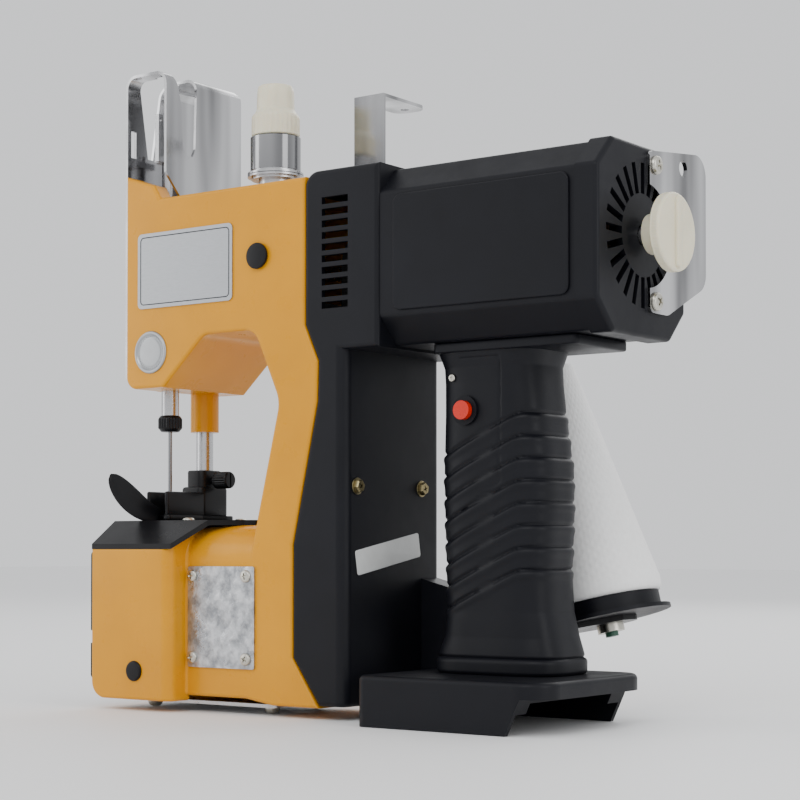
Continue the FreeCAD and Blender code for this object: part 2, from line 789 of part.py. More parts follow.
def cover_bolts():
    """Hexagon bolts on the rear face of the belt cover."""
    rear = dim("cover_rear_low")
    pieces = []
    for number, y in enumerate((9, 58)):
        head = doc.addObject("Part::Prism", f"hex_{number}")
        head.Polygon = 6
        bind(head, "Circumradius", as_size(3.8))
        bind(head, "Height", as_size(2.6))
        head.Placement.Rotation = FreeCAD.Rotation(FreeCAD.Vector(0, 0, 1), FreeCAD.Vector(1, 0, 0))
        bind(head, ".Placement.Base.x", rear)
        bind(head, ".Placement.Base.y", as_size(y))
        bind(head, ".Placement.Base.z", as_size(104))
        pieces.append(head)
    group("cover_bolts", pieces)


# ---------------------------------------------------------------- motor

def octagon(inset, chamfer):
    """(y, z) outline of the motor's bevelled section, drawn in by inset."""
    near = as_size(inset)
    far = dim("motor_width") - inset
    low = dim("motor_bottom") + inset
    high = dim("motor_top") - inset
    return [
        (near + chamfer, low), (far - chamfer, low), (far, low + chamfer), (far, high - chamfer),
        (far - chamfer, high), (near + chamfer, high), (near, high - chamfer), (near, low + chamfer),
    ]


def motor_housing():
    """Bevelled housing round the stator, with a raised panel on each side."""
    body = new_body("motor_housing")
    front = dim("cover_rear_high")
    rear = dim("motor_rear")
    prism(body, "X", octagon(1.2, dim("motor_chamfer")), front, rear)
    soften(body, 3, "X")
    panel = [(160, 179.5), (rear - 3, 179.5), (rear - 3, 230), (160, 230)]
    prism(body, "Y", panel, 0, 1.2)
    prism(body, "Y", panel, dim("motor_width") - 1.2, dim("motor_width"))
    soften(body, 4, "Y", panel)
    soften_rim(body, 0.7, "Y", 0)
    centre = (dim("motor_axis_y"), dim("motor_axis_z"))
    bore(body, "X", centre, dim("motor_bore"), front + 6, rear)
    bore(body, "X", centre, 11, front, front + 6)


def end_cap():
    """Rear cap of the motor, drawn round the motor axis, with a ring of radial cooling slots."""
    body = new_body("end_cap")
    y = dim("motor_axis_y")
    z = dim("motor_axis_z")
    place(body, as_size(0), y, z)
    low = dim("motor_rear")
    high = dim("cap_rear")
    section = [(corner_y - y, corner_z - z) for corner_y, corner_z in octagon(0, dim("motor_chamfer") + 1)]
    prism(body, "X", section, low, high)
    soften(body, 3, "X")
    soften_rim(body, 2, "X", high)
    bore(body, "X", (0, 0), 33, low, high - 3)
    bore(body, "X", (0, 0), 4.6, high - 3, high)
    boss(body, "X", (0, 0), 13, low + 2, high - 3)
    bore(body, "X", (0, 0), 9, low + 2, high - 3)
    opening = [(-1.5, 17.5), (1.5, 17.5), (1.5, 30.5), (-1.5, 30.5)]
    slot = prism(body, "X", opening, high - 3.5, high, cut=True)
    slots = body.newObject("PartDesign::PolarPattern", "end_cap_slots")
    slots.Originals = [slot]
    axis = next(item for item in body.Origin.OriginFeatures if item.Role == "X_Axis")
    slots.Axis = (axis, [""])
    slots.Angle = 360
    slots.Occurrences = 24
    body.Tip = slots
    doc.recompute()


def motor_inside():
    """Stator, armature, commutator, fan, bearings and brushes on the motor axis."""
    y = dim("motor_axis_y")
    z = dim("motor_axis_z")
    axis = (1, 0, 0)
    front = dim("cover_rear_high")
    tube = [(22, 182), (dim("motor_bore"), 182), (dim("motor_bore"), 226), (22, 226)]
    turned("stator", tube, 0, y, z, axis)
    shaft = step_profile([(4, dim("drive_belt_x"), 274)])
    turned("motor_shaft", shaft, 0, y, z, axis)
    group("armature", [
        ring("armature_core", as_size(184), y, z, 21, 4, 40, axis),
        ring("commutator", as_size(230), y, z, 11, 4, 12, axis),
    ])
    rim = dim("motor_pulley_rad")
    turned("motor_pulley", [(4, 0), (rim, 0), (rim, 5), (4, 5)], dim("drive_belt_x"), y, z, axis)
    turned("cooling_fan", [(4, 164), (28, 164), (28, 166), (9, 166), (9, 174), (4, 174)], 0, y, z, axis)
    fit = 4 + dim("running_fit")
    group("motor_bearings", [
        ring("front_race", front, y, z, 11, fit, 6, axis),
        ring("rear_race", dim("motor_rear") + 2, y, z, 9, fit, 5.7, axis),
    ])
    brushes = []
    for name, low in (("upper", 11.3), ("lower", -33.0)):
        brush = doc.addObject("Part::Box", f"{name}_brush")
        bind(brush, "Length", as_size(8))
        bind(brush, "Width", as_size(6))
        bind(brush, "Height", as_size(21.7))
        bind(brush, ".Placement.Base.x", as_size(232))
        bind(brush, ".Placement.Base.y", y - 3)
        bind(brush, ".Placement.Base.z", z + low)
        brushes.append(brush)
    group("brush_holders", brushes)


def hand_knob():
    """Cream hand knob on the rear end of the motor shaft, with a finger ridge across it."""
    profile = [
        (4, 266.2), (8.5, 266.2), (8.5, 272), (16.5, 274.5),
        (16.5, 279), (0, 279), (0, 274), (4, 274),
    ]
    body = turned("hand_knob", profile, 0, dim("motor_axis_y"), dim("motor_axis_z"), (1, 0, 0))
    box(body, (-15, 15), (-2.2, 2.2), (279, 280.5))
    return body


def hanger_plate():
    """Chrome plate screwed to the end cap, with the hole that the machine hangs from."""
    body = new_body("hanger_plate")
    x = dim("cap_rear")
    y = dim("motor_axis_y")
    z = dim("motor_axis_z")
    outline = [(40.5, 243), (91, 249), (91, 191), (56, 175), (40.5, 175)]
    prism(body, "X", outline, x, x + 1.8)
    soften(body, 9, "X", [(91, 249), (91, 191), (56, 175)])
    soften(body, 3, "X", [(40.5, 243), (40.5, 175)])
    bore(body, "X", (y, z), 22, x, x + 1.8)
    bore(body, "X", (70, 240), 3.6, x, x + 1.8)
    screws = []
    for number, sz in enumerate((237.5, 180.0)):
        bore(body, "X", (45.5, sz), 2, x, x + 1.8)
        screws.append(screw(f"hanger_screw_{number}", x + 1.8, 45.5, sz, (1, 0, 0), 4, 2.2, 2, 1.8))
    return screws


# ---------------------------------------------------------------- grip and standing foot

def grip_column(body, low, high):
    """The rounded hand-hold between two heights."""
    half_x = dim("grip_length") / 2
    half_y = dim("grip_width") / 2
    x = dim("grip_x")
    y = dim("grip_y")
    cut = 9
    corners = [
        (x - half_x, y - half_y + cut), (x - half_x + cut, y - half_y), (x + half_x - cut, y - half_y),
        (x + half_x, y - half_y + cut), (x + half_x, y + half_y - cut), (x + half_x - cut, y + half_y),
        (x - half_x + cut, y + half_y), (x - half_x, y + half_y - cut),
    ]
    prism(body, "Z", corners, low, high)
    soften(body, 9, "Z", corners, span=(low.value, high.value))


def grip():
    """Hollow pistol grip with a flared foot and a flange under the motor."""
    body = new_body("grip")
    bottom = dim("grip_bottom")
    top = dim("grip_top")
    grip_column(body, bottom, top)
    x = dim("grip_x")
    y = dim("grip_y")
    flare_x = (x - 30.5, x + 33)
    flare_y = (y - 22, y + 22)
    box(body, flare_x, flare_y, (bottom - 5, bottom + 5))
    soften(body, 9, "Z", span=(bottom.value - 5, bottom.value + 5),
           spots=[(flare_x[end], flare_y[side]) for end in (0, 1) for side in (0, 1)])
    box(body, (x - 26, dim("motor_rear") - 8.5), (y - 22, y + 22), (top, dim("motor_bottom") + 1.2))
    box(body, (x - 18, x + 18), (y - 13, y + 13), (bottom - 5, top - 6), cut=True)
    bore(body, "Y", (dim("button_x"), dim("button_z")), 5.5, 10, y)


def switch_parts():
    """Trigger button, and the switch with its bezel, on the near side of the grip."""
    x = dim("button_x")
    z = dim("button_z")
    face = dim("grip_y") - dim("grip_width") / 2
    turned("trigger_button", step_profile([(4.1, -3.8, 5.2)]), x, face, z, (0, 1, 0))
    switch = new_body("switch_body")
    box(switch, (x - 5, x + 12), (face + 9.2, face + 24), (z - 14, z + 9))
    boss(switch, "Y", (x, z), 5.4, face, face + 9.2)
    boss(switch, "Y", (x, z), 6.4, face - 1.2, face)
    bore(switch, "Y", (x, z), 4.18, face - 1.2, face + 9.2)


def standing_foot():
    """Inverted tray under the grip, open below, with a hand-hold arch at the rear."""
    body = new_body("standing_foot")
    x = (dim("foot_front"), dim("foot_rear"))
    y = (dim("foot_near"), dim("cover_far"))
    top = dim("foot_top")
    wall = dim("shell_wall")
    box(body, x, y, (0, top))
    soften(body, 14, "Z", [(x[1], y[0]), (x[1], y[1])])
    soften(body, 4, "Z", [(x[0], y[0]), (x[0], y[1])])
    box(body, (x[0] + wall, x[1] - 14), (y[0] + wall, y[1] - wall), (0, top - 3), cut=True)
    # the skirt is drawn in under the rear lip, and open between its two legs
    skirt = [(x[1] - 18, 0), (x[1] + 1, 0), (x[1] + 1, 15), (x[1] - 11, 15)]
    prism(body, "Y", skirt, y[0] - 1, y[1] + 1, cut=True)
    box(body, (x[1] - 24, x[1] + 1), (-4, 62), (0, 13), cut=True)
    soften_rim(body, 2.2, "Z", top)


# ---------------------------------------------------------------- thread stand

def thread_stand():
    """Bracket, cup, spindle and nut that carry the thread cone on the far side, leaning forward."""
    lean = math.radians(SIZES["cone_tilt"])
    up = (-math.sin(lean), 0, math.cos(lean))
    spot = (dim("cone_x"), dim("cone_y"), dim("cone_base_z"), up)
    spindle = dim("spindle_rad")
    hole = spindle + 0.1
    base = dim("cone_base_rad")
    tip = dim("cone_top_rad")
    turned("spool_cup", [(hole, -10), (29, -10), (29, -8.2), (25, -8.2), (25, -1.5), (hole, -1.5)], *spot)
    turned("spool_spindle", step_profile([(spindle, -18, 113), (5, 113, 124)]), *spot)
    turned("spool_nut", [(hole, -16), (6.2, -16), (6.2, -12.5), (hole, -12.5)], *spot)
    loose = spindle + 0.4
    turned("cone_core", [(loose, -1.2), (24, -1.2), (tip - 1.5, 112), (loose, 112)], *spot)
    winding = [
        (24, -1.2), (base - 1.5, -1.2), (base, 1.5), (base, 5),
        (tip + 2, 109), (tip, 110.5), (tip - 1.2, 110.5),
    ]
    turned("thread_cone", winding, *spot)
    bracket = new_body("spool_bracket")
    place(bracket, *spot[:3], direction=up)
    reach = dim("cone_y") - dim("cover_far")
    tab = [(-27, -reach), (-7, -reach), (11, -6), (11, 11), (-11, 11), (-27, -10)]
    prism(bracket, "Z", tab, -12.5, -10)
    box(bracket, (-27, -7), (-reach, 2.5 - reach), (-46, -12.5))
    soften(bracket, 6, "Z", [(11, 11), (-11, 11)])
    bore(bracket, "Z", (0, 0), hole, -12.5, -10)


# ---------------------------------------------------------------- top of the arm

def tension_unit():
    """Thread tension: post, two discs, spring barrel and the screw-down knob."""
    x = dim("tension_x")
    y = dim("tension_y")
    seat = 7.5
    base = dim("arm_top") + seat
    radius = dim("tension_post_rad")
    turned("tension_post", step_profile([(8, -seat, 0), (radius, 0, 40)]), x, y, base, (0, 0, 1))
    group("tension_discs", [
        fused("lower_disc", [
            ring("lower_disc_rim", x, y, base + 1.1, 13.3, radius, 0.9),
            ring("lower_disc_web", x, y, base, 11.5, radius, 1.1),
        ]),
        fused("upper_disc", [
            ring("upper_disc_rim", x, y, base + 2.3, 13.3, radius, 0.9),
            ring("upper_disc_web", x, y, base + 3.2, 11.5, radius, 1.1),
        ]),
    ])
    turned("tension_barrel", [(radius, 4.3), (12, 4.3), (12, 20), (9.5, 20), (9.5, 7), (radius, 7)],
           x, y, base)
    turned("tension_spring", [(4.2, 7.2), (6, 7.2), (6, 20), (4.2, 20)], x, y, base)
    knob = [(radius + 0.05, 20.6), (11.5, 20.6), (11.5, 31), (9.2, 32.5), (9.2, 44.8), (0, 44.8),
            (0, 40.5), (radius + 0.05, 40.5)]
    turned("tension_knob", knob, x, y, base)


def thread_guide(screws):
    """Tall strip bent over at the top, that leads the thread from the cone to the tension unit."""
    body = new_body("thread_guide")
    top = dim("arm_top")
    width = dim("arm_width")
    low = 93
    high = 110.6
    middle = (low + high) / 2
    box(body, (low, high), (width, width + 1.6), (226, 293))
    reach = width + 36
    box(body, (low, high), (width, reach), (291.4, 293))
    soften(body, 6, "Z", [(low, reach), (high, reach)])
    bore(body, "Z", (middle, reach - 7), 2, 291.4, 293)
    bore(body, "Y", (middle, 233), 2, width, width + 1.6)
    screws.append(screw("guide_screw", middle, width + 1.6, 233, (0, 1, 0), 4, 2.2, 2, 1.6))
    screws.append(screw("arm_screw", 100, 40, top, (0, 0, 1), 5, 5, 2, 1))
    group("frame_screws", screws)


def finish():
    """Check every object, then write each sub-part to its own file."""
    doc.recompute()
    for item in doc.Objects:
        if "Invalid" in item.State or "Error" in item.State:
            raise ValueError(f"{item.Label}: {item.State}")
    os.makedirs("parts", exist_ok=True)
    for item in SUB_PARTS:
        shape = item.Shape
        if shape.isNull() or not shape.isValid():
            raise ValueError(f"{item.Label} has no valid shape")
        shape.exportStep(f"parts/{item.Label}.step")


arm_frame()
bar_bushes()
take_up_cover()
face_plate_parts()
throat_plate(bed_covers())
needle_bar_group()
presser_group()
sewing_drive()
shafts()
belts()
belt_cover()
cover_bolts()
motor_housing()
end_cap()
motor_inside()
hand_knob()
plate_screws = hanger_plate()
grip()
switch_parts()
standing_foot()
thread_stand()
tension_unit()
thread_guide(plate_screws)
finish()
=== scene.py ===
"""Looks of the portable bag closer sewing machine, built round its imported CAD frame."""

import json
import math
import random

import bmesh
import bpy
from mathutils import Matrix, Vector


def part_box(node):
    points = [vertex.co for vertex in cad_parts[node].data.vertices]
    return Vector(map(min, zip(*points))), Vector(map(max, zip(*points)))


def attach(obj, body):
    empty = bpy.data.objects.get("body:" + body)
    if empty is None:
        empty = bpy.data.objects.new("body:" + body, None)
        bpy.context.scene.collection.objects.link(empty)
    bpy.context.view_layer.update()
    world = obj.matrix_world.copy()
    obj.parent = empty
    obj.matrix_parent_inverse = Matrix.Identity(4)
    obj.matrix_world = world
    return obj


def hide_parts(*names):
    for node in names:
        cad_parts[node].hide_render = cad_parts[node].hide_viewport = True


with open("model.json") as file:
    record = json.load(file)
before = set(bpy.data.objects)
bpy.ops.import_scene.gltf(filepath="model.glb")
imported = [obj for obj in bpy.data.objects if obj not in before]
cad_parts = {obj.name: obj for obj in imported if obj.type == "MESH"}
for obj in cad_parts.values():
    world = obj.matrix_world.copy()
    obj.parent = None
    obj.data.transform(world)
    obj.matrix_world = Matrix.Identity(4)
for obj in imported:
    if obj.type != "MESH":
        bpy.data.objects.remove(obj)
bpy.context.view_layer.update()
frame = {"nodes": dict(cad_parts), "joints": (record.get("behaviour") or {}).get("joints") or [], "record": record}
NODES = frame["nodes"]

MM = 0.001
ROOT = "machine"
RANDOM = random.Random(7)
HERE = Matrix.Identity(4)
# the machine's own grid starts at the head's near front edge, this far short of the frame's origin
GRID_ORIGIN_X = 134.25
GRID_ORIGIN_Y = 57.0


# ---------------------------------------------------------------- camera, light and floor

def look_along(direction):
    """A rotation that points -Z along direction, kept upright."""
    return Vector(direction).to_track_quat("-Z", "Y").to_euler()


def make_camera():
    """A level, long-lens view of the name plate side and the motor's rear end."""
    data = bpy.data.cameras.new("camera")
    data.lens = 85.85
    data.sensor_width = 36
    data.shift_y = 0.14
    data.clip_start = 0.05
    data.clip_end = 20
    camera = bpy.data.objects.new("camera", data)
    bpy.context.scene.collection.objects.link(camera)
    azimuth = math.radians(36.3)
    pitch = math.radians(1.146)
    camera.location = (0.5172, -0.7201, 0.0755)
    level = math.cos(pitch)
    ahead = Vector((-math.sin(azimuth) * level, math.cos(azimuth) * level, math.sin(pitch)))
    camera.rotation_euler = look_along(ahead)
    bpy.context.scene.camera = camera


def area_light(name, location, target, size, power, tint=(1, 1, 1)):
    data = bpy.data.lights.new(name, "AREA")
    data.shape = "RECTANGLE"
    data.size, data.size_y = size
    data.energy = power
    data.color = tint
    lamp = bpy.data.objects.new(name, data)
    lamp.location = location
    lamp.rotation_euler = look_along(Vector(target) - Vector(location))
    bpy.context.scene.collection.objects.link(lamp)


def make_studio():
    """A pale seamless floor under soft boxes."""
    mesh = bpy.data.meshes.new("floor")
    half = 6.0
    corners = [(-half, -half, 0), (half, -half, 0), (half, half, 0), (-half, half, 0)]
    mesh.from_pydata(corners, [], [(0, 1, 2, 3)])
    floor = bpy.data.objects.new("floor", mesh)
    floor.location.z = -0.0002
    bpy.context.scene.collection.objects.link(floor)
    floor.data.materials.append(plain_floor())
    world = bpy.data.worlds.new("studio")
    world.use_nodes = True
    back = world.node_tree.nodes["Background"]
    back.inputs["Color"].default_value = (0.97, 0.98, 1.0, 1)
    back.inputs["Strength"].default_value = 1.0
    bpy.context.scene.world = world
    centre = (0, 0, 0.15)
    area_light("key", (0.4, -1.4, 1.3), centre, (1.2, 0.9), 10)
    area_light("side", (1.5, -0.2, 0.7), centre, (0.7, 1.1), 6)
    area_light("front", (-1.3, -0.9, 0.6), centre, (0.6, 1.2), 5)
    area_light("rear", (-0.3, 1.4, 1.1), centre, (1.2, 0.8), 7)


# ---------------------------------------------------------------- materials

def new_material(name, colour, roughness, metallic=0.0, **sockets):
    """A Principled material; returns it with its node tree and shader."""
    mat = bpy.data.materials.new(name)
    mat.use_nodes = True
    tree = mat.node_tree
    shader = tree.nodes["Principled BSDF"]
    shader.inputs["Base Color"].default_value = (*colour, 1)
    shader.inputs["Roughness"].default_value = roughness
    shader.inputs["Metallic"].default_value = metallic
    for key, value in sockets.items():
        shader.inputs[key.replace("_", " ")].default_value = value
    return mat, tree, shader


def coordinates(tree, scale=(1, 1, 1), rotation=(0, 0, 0)):
    """Object coordinates in metres, scaled and turned."""
    source = tree.nodes.new("ShaderNodeTexCoord")
    mapping = tree.nodes.new("ShaderNodeMapping")
    mapping.inputs["Scale"].default_value = scale
    mapping.inputs["Rotation"].default_value = rotation
    tree.links.new(source.outputs["Object"], mapping.inputs["Vector"])
    return mapping.outputs["Vector"]


def noise(tree, vector, scale, detail=3.0, roughness=0.55):
    node = tree.nodes.new("ShaderNodeTexNoise")
    node.inputs["Scale"].default_value = scale
    node.inputs["Detail"].default_value = detail
    node.inputs["Roughness"].default_value = roughness
    tree.links.new(vector, node.inputs["Vector"])
    return node.outputs["Fac"]


def remap(tree, value, low, high, source=(0.3, 0.7)):
    node = tree.nodes.new("ShaderNodeMapRange")
    node.inputs["From Min"].default_value = source[0]
    node.inputs["From Max"].default_value = source[1]
    node.inputs["To Min"].default_value = low
    node.inputs["To Max"].default_value = high
    tree.links.new(value, node.inputs["Value"])
    return node.outputs["Result"]


def two_tone(tree, factor, dark, light, source=(0.3, 0.7)):
    """A colour that drifts between two tones with factor."""
    ramp = tree.nodes.new("ShaderNodeValToRGB")
    ramp.color_ramp.elements[0].position = source[0]
    ramp.color_ramp.elements[1].position = source[1]
    ramp.color_ramp.elements[0].color = (*dark, 1)
    ramp.color_ramp.elements[1].color = (*light, 1)
    tree.links.new(factor, ramp.inputs["Fac"])
    return ramp.outputs["Color"]


def add_bump(tree, shader, height, strength, distance):
    """Bump of the given depth in metres, on top of any bump already there."""
    bump = tree.nodes.new("ShaderNodeBump")
    bump.inputs["Strength"].default_value = strength
    bump.inputs["Distance"].default_value = distance
    tree.links.new(height, bump.inputs["Height"])
    socket = shader.inputs["Normal"]
    if socket.is_linked:
        tree.links.new(socket.links[0].from_socket, bump.inputs["Normal"])
    tree.links.new(bump.outputs["Normal"], socket)


def plain_floor():
    """Matt near-white sweep."""
    return new_material("pale_floor", (0.93, 0.93, 0.93), 0.6)[0]


def enamel():
    """Glossy amber paint over a casting, with orange peel and slight mottling."""
    mat, tree, shader = new_material(
        "amber_enamel", (0.68, 0.29, 0.0), 0.3, Coat_Weight=0.15, Coat_Roughness=0.1, Specular_IOR_Level=0.2
    )
    where = coordinates(tree)
    broad = noise(tree, where, 28, 4)
    mottling = two_tone(tree, broad, (0.64, 0.268, 0.0), (0.71, 0.305, 0.0))
    tree.links.new(mottling, shader.inputs["Base Color"])
    tree.links.new(remap(tree, noise(tree, where, 120, 5), 0.24, 0.4), shader.inputs["Roughness"])
    add_bump(tree, shader, noise(tree, where, 420, 2), 0.35, 0.00008)
    add_bump(tree, shader, noise(tree, where, 60, 2), 0.5, 0.0002)
    return mat


def moulded_black(name="moulded_black", base=(0.0035, 0.0038, 0.006), rough=(0.36, 0.52), grain=0.5):
    """Blue-black moulded plastic with a fine spark-eroded grain and faint handling marks."""
    mat, tree, shader = new_material(name, base, 0.45, Specular_IOR_Level=0.2)
    where = coordinates(tree)
    light = tuple(part * 1.35 for part in base)
    tree.links.new(two_tone(tree, noise(tree, where, 45, 5), base, light), shader.inputs["Base Color"])
    tree.links.new(remap(tree, noise(tree, where, 35, 6, 0.7), *rough), shader.inputs["Roughness"])
    add_bump(tree, shader, noise(tree, where, 2600, 2), grain, 0.00006)
    add_bump(tree, shader, noise(tree, where, 90, 2), 0.25, 0.0001)
    return mat


def plated(name, colour, rough, scratches=0.3, stretch=(1, 1, 1)):
    """Plated or ground metal with fine directional scratches and smudges."""
    mat, tree, shader = new_material(name, colour, rough[0], 1.0)
    where = coordinates(tree)
    lines = coordinates(tree, stretch)
    dull = tuple(part * 0.86 for part in colour)
    tone = two_tone(tree, noise(tree, where, 90, 6, 0.65), dull, colour)
    tree.links.new(tone, shader.inputs["Base Color"])
    tree.links.new(remap(tree, noise(tree, where, 55, 6, 0.7), *rough), shader.inputs["Roughness"])
    add_bump(tree, shader, noise(tree, lines, 900, 3), scratches, 0.00003)
    return mat


def streaked_chrome():
    """Polished sheet with soft dark streaks of painted reflection in its colour, and fine rubbing marks."""
    mat, tree, shader = new_material("chrome", (0.5, 0.5, 0.52), 0.12, 1.0)
    # painted reflection: soft dark streaks of the surroundings painted into the base colour
    painted_reflection_streaks = noise(tree, coordinates(tree, (1, 1, 0.09), (0.05, -0.04, 0)), 48, 2, 0.5)
    tree.links.new(
        two_tone(tree, painted_reflection_streaks, (0.2, 0.2, 0.205), (0.66, 0.66, 0.67), (0.36, 0.66)),
        shader.inputs["Base Color"],
    )
    smudges = noise(tree, coordinates(tree), 55, 6, 0.7)
    tree.links.new(remap(tree, smudges, 0.07, 0.2), shader.inputs["Roughness"])
    add_bump(tree, shader, noise(tree, coordinates(tree, (1, 1, 0.05)), 900, 3), 0.12, 0.00003)
    return mat


def soft_plastic(name, colour, rough=(0.3, 0.42), depth=0.25):
    """Light moulded plastic with a little depth of its own."""
    mat, tree, shader = new_material(name, colour, rough[0], Subsurface_Weight=depth)
    shader.inputs["Subsurface Radius"].default_value = (0.003, 0.002, 0.0012)
    where = coordinates(tree)
    dark = tuple(part * 0.9 for part in colour)
    tree.links.new(two_tone(tree, noise(tree, where, 60, 5), dark, colour), shader.inputs["Base Color"])
    tree.links.new(remap(tree, noise(tree, where, 140, 4), *rough), shader.inputs["Roughness"])
    add_bump(tree, shader, noise(tree, where, 500, 2), 0.2, 0.00006)
    return mat


def printed_plate(name="printed_plate", colour=(0.36, 0.37, 0.385)):
    """Brushed aluminium sheet with a drawn grain along its length."""
    mat, tree, shader = new_material(name, colour, 0.34, 0.85)
    grain = coordinates(tree, (6, 1, 90))
    fine = noise(tree, grain, 60, 4, 0.6)
    bright = tuple(min(1.0, part * 1.22) for part in colour)
    tree.links.new(two_tone(tree, fine, colour, bright), shader.inputs["Base Color"])
    tree.links.new(remap(tree, fine, 0.28, 0.46), shader.inputs["Roughness"])
    add_bump(tree, shader, fine, 0.3, 0.00004)
    return mat


def creased_foil():
    """Aluminium foil notice, creased where it was rubbed down; its colour is painted darker and lighter with the
    crease height, as painted shade and highlight.
    """
    mat, tree, shader = new_material("creased_foil", (0.42, 0.43, 0.45), 0.32, 0.9)
    where = coordinates(tree)
    crease_relief_and_painted_shade = noise(tree, coordinates(tree, (1, 1, 1), (0.5, 0.7, 0.3)), 170, 4, 0.62)
    # painted shade and highlight: the creases' dark and light facets painted into the base colour, on top of the
    # real crease bump
    tree.links.new(
        two_tone(tree, crease_relief_and_painted_shade, (0.26, 0.27, 0.285), (0.6, 0.61, 0.63), (0.36, 0.64)),
        shader.inputs["Base Color"],
    )
    tree.links.new(remap(tree, noise(tree, where, 90, 4), 0.24, 0.42), shader.inputs["Roughness"])
    add_bump(tree, shader, crease_relief_and_painted_shade, 0.9, 0.0006)
    return mat


def spun_thread():
    """White polyester thread: soft sheen over crossing strands."""
    mat, tree, shader = new_material(
        "spun_thread", (0.92, 0.92, 0.91), 0.62, Sheen_Weight=0.4, Sheen_Roughness=0.4
    )
    shader.inputs["Subsurface Weight"].default_value = 0.15
    shader.inputs["Subsurface Radius"].default_value = (0.002, 0.002, 0.002)
    where = coordinates(tree)
    tree.links.new(
        two_tone(tree, noise(tree, where, 320, 5, 0.7), (0.88, 0.88, 0.87), (0.95, 0.95, 0.94)),
        shader.inputs["Base Color"],
    )
    add_bump(tree, shader, noise(tree, coordinates(tree, (1, 1, 5)), 900, 3), 0.4, 0.00012)
    return mat


def sticker(name, colour, rough=0.35):
    """Printed film, very slightly uneven."""
    mat, tree, shader = new_material(name, colour, rough)
    where = coordinates(tree)
    dark = tuple(part * 0.93 for part in colour)
    tree.links.new(two_tone(tree, noise(tree, where, 150, 4), dark, colour), shader.inputs["Base Color"])
    add_bump(tree, shader, noise(tree, where, 300, 2), 0.2, 0.00005)
    return mat


MATERIALS = {
    "yellow_paint": enamel(),
    "black_plastic": moulded_black(),
    "dark_metal": moulded_black("blackened_steel", (0.005, 0.005, 0.006), (0.22, 0.4), 0.25),
    "chrome": streaked_chrome(),
    "steel": plated("ground_steel", (0.55, 0.55, 0.56), (0.2, 0.32), 0.5, (1, 1, 0.05)),
    "zinc": plated("zinc_plate", (0.62, 0.6, 0.53), (0.26, 0.4), 0.4),
    "silver_plate": printed_plate(),
    "cream_plastic": soft_plastic("cream_plastic", (0.8, 0.745, 0.56)),
    "red_plastic": soft_plastic("red_plastic", (0.62, 0.018, 0.004), (0.22, 0.32), 0.0),
    "bronze": plated("sintered_bronze", (0.5, 0.33, 0.15), (0.35, 0.5)),
    "winding": plated("laminations", (0.35, 0.22, 0.15), (0.4, 0.6)),
    "belt_rubber": moulded_black("belt_rubber", (0.012, 0.012, 0.012), (0.6, 0.8), 0.8),
    "thread": spun_thread(),
    "core_plastic": soft_plastic("core_plastic", (0.02, 0.09, 0.055), (0.4, 0.5), 0.0),
}

BADGE_METAL = plated("badge_metal", (0.42, 0.43, 0.44), (0.3, 0.45), 0.5)
BRASSY_ZINC = plated("brassy_zinc", (0.3, 0.25, 0.13), (0.28, 0.42), 0.4)
NOTICE_FOIL = creased_foil()
LABEL_FILM = sticker("label_film", (0.62, 0.63, 0.62))


# ---------------------------------------------------------------- mesh helpers

def grid(x, y, z):
    """A point of the machine's own grid, in millimetres, in the frame's metres."""
    return Vector((x - GRID_ORIGIN_X, y - GRID_ORIGIN_Y, z)) * MM


def aim(origin, axis):
    """A matrix that stands +Z along axis at origin."""
    turn = Vector((0, 0, 1)).rotation_difference(Vector(axis).normalized())
    return Matrix.Translation(origin) @ turn.to_matrix().to_4x4()


def shade(obj, angle=32):
    """Smooth shading that keeps true edges sharp."""
    work = bmesh.new()
    work.from_mesh(obj.data)
    limit = math.radians(angle)
    for face in work.faces:
        face.smooth = True
    for edge in work.edges:
        edge.smooth = len(edge.link_faces) == 2 and edge.calc_face_angle(0) < limit
    work.to_mesh(obj.data)
    work.free()


def new_piece(name, work, slot, body=ROOT, replaces=(), material=None, angle=32):
    """A finished piece that rides on a body and may stand for CAD nodes."""
    bmesh.ops.recalc_face_normals(work, faces=work.faces)
    mesh = bpy.data.meshes.new(name)
    work.to_mesh(mesh)
    work.free()
    obj = bpy.data.objects.new(name, mesh)
    bpy.context.scene.collection.objects.link(obj)
    mesh.materials.append(material or MATERIALS[slot])
    shade(obj, angle)
    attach(obj, body)
    if replaces:
        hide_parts(*replaces)
    return obj


def joined(pieces):
    """One mesh out of several, each a (mesh, matrix) pair."""
    whole = bmesh.new()
    for part, matrix in pieces:
        mesh = bpy.data.meshes.new("part")
        part.to_mesh(mesh)
        mesh.transform(matrix)
        whole.from_mesh(mesh)
        bpy.data.meshes.remove(mesh)
        part.free()
    return whole


def rounded(profile, radius, steps=4):
    """An open outline with its inner corners rounded by short arcs."""
    result = [profile[0]]
    for before, corner, after in zip(profile, profile[1:], profile[2:]):
        here = Vector(corner)
        back = Vector(before) - here
        ahead = Vector(after) - here
        reach = min(radius, back.length * 0.45, ahead.length * 0.45)
        start = here + back.normalized() * reach
        end = here + ahead.normalized() * reach
        for step in range(steps + 1):
            share = step / steps
            bent = start * (1 - share) ** 2 + here * (2 * share * (1 - share)) + end * share ** 2
            result.append(tuple(bent))
    result.append(profile[-1])
    return result


